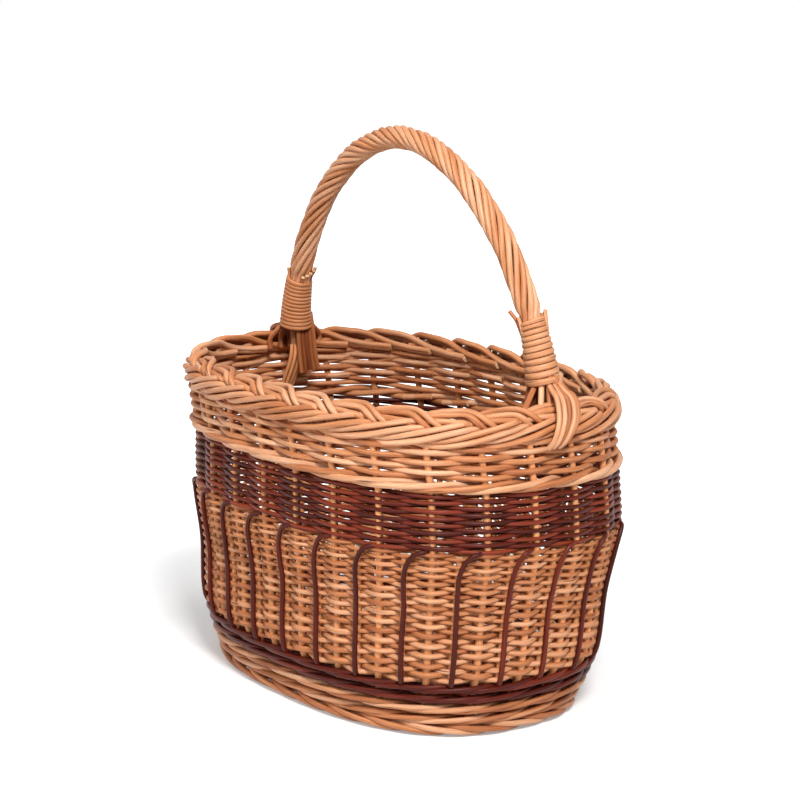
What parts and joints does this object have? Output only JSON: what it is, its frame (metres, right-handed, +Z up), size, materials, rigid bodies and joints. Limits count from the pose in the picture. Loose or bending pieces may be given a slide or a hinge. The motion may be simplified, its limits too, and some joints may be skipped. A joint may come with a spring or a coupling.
{
  "type": "foraging basket",
  "caption": "Oval willow foraging basket on a raised foot, with dark woven bands, dark ribs, a plaited rim and a roped bow handle.",
  "frame": {"origin": "middle of the oval foot, on the floor that the basket stands on", "axes": "+Z up; X along the oval, under the bow handle; Y across the oval"},
  "size_m": [0.4096, 0.294, 0.4643],
  "materials": {
    "buff_willow": "satin",
    "dark_willow": "satin",
    "brown_willow": "satin",
    "peeled_core": "matt"
  },
  "bodies": {
    "root": {"base_cross_stick_1": "peeled_core", "base_cross_stick_2": "peeled_core", "base_cross_stick_3": "peeled_core", "base_cross_stick_4": "peeled_core", "base_cross_stick_5": "peeled_core", "base_long_stick_1": "peeled_core", "base_long_stick_2": "peeled_core", "base_long_stick_3": "peeled_core", "base_weave": "buff_willow", "binding_left": "buff_willow", "binding_right": "buff_willow", "dark_band": "dark_willow", "dark_lower_wale": "dark_willow", "foot_border": "buff_willow", "foot_wale": "buff_willow", "handle_core": "peeled_core", "handle_rope": "buff_willow", "inner_tail_left": "brown_willow", "inner_tail_right": "brown_willow", "lower_weave": "buff_willow", "mid_wale": "buff_willow", "outer_tail_left": "buff_willow", "outer_tail_right": "buff_willow", "plaited_border": "buff_willow", "rib_01": "dark_willow", "rib_02": "dark_willow", "rib_03": "dark_willow", "rib_04": "dark_willow", "rib_05": "dark_willow", "rib_06": "dark_willow", "rib_07": "dark_willow", "rib_08": "dark_willow", "rib_09": "dark_willow", "rib_10": "dark_willow", "rib_11": "dark_willow", "rib_12": "dark_willow", "rib_13": "dark_willow", "rib_14": "dark_willow", "rib_15": "dark_willow", "rib_16": "dark_willow", "rib_17": "dark_willow", "rib_18": "dark_willow", "rib_19": "dark_willow", "rib_20": "dark_willow", "rib_21": "dark_willow", "rib_22": "dark_willow", "rib_23": "dark_willow", "rib_24": "dark_willow", "rib_25": "dark_willow", "rib_26": "dark_willow", "stakes": "brown_willow", "upper_weave": "buff_willow"}
  },
  "joints": []
}
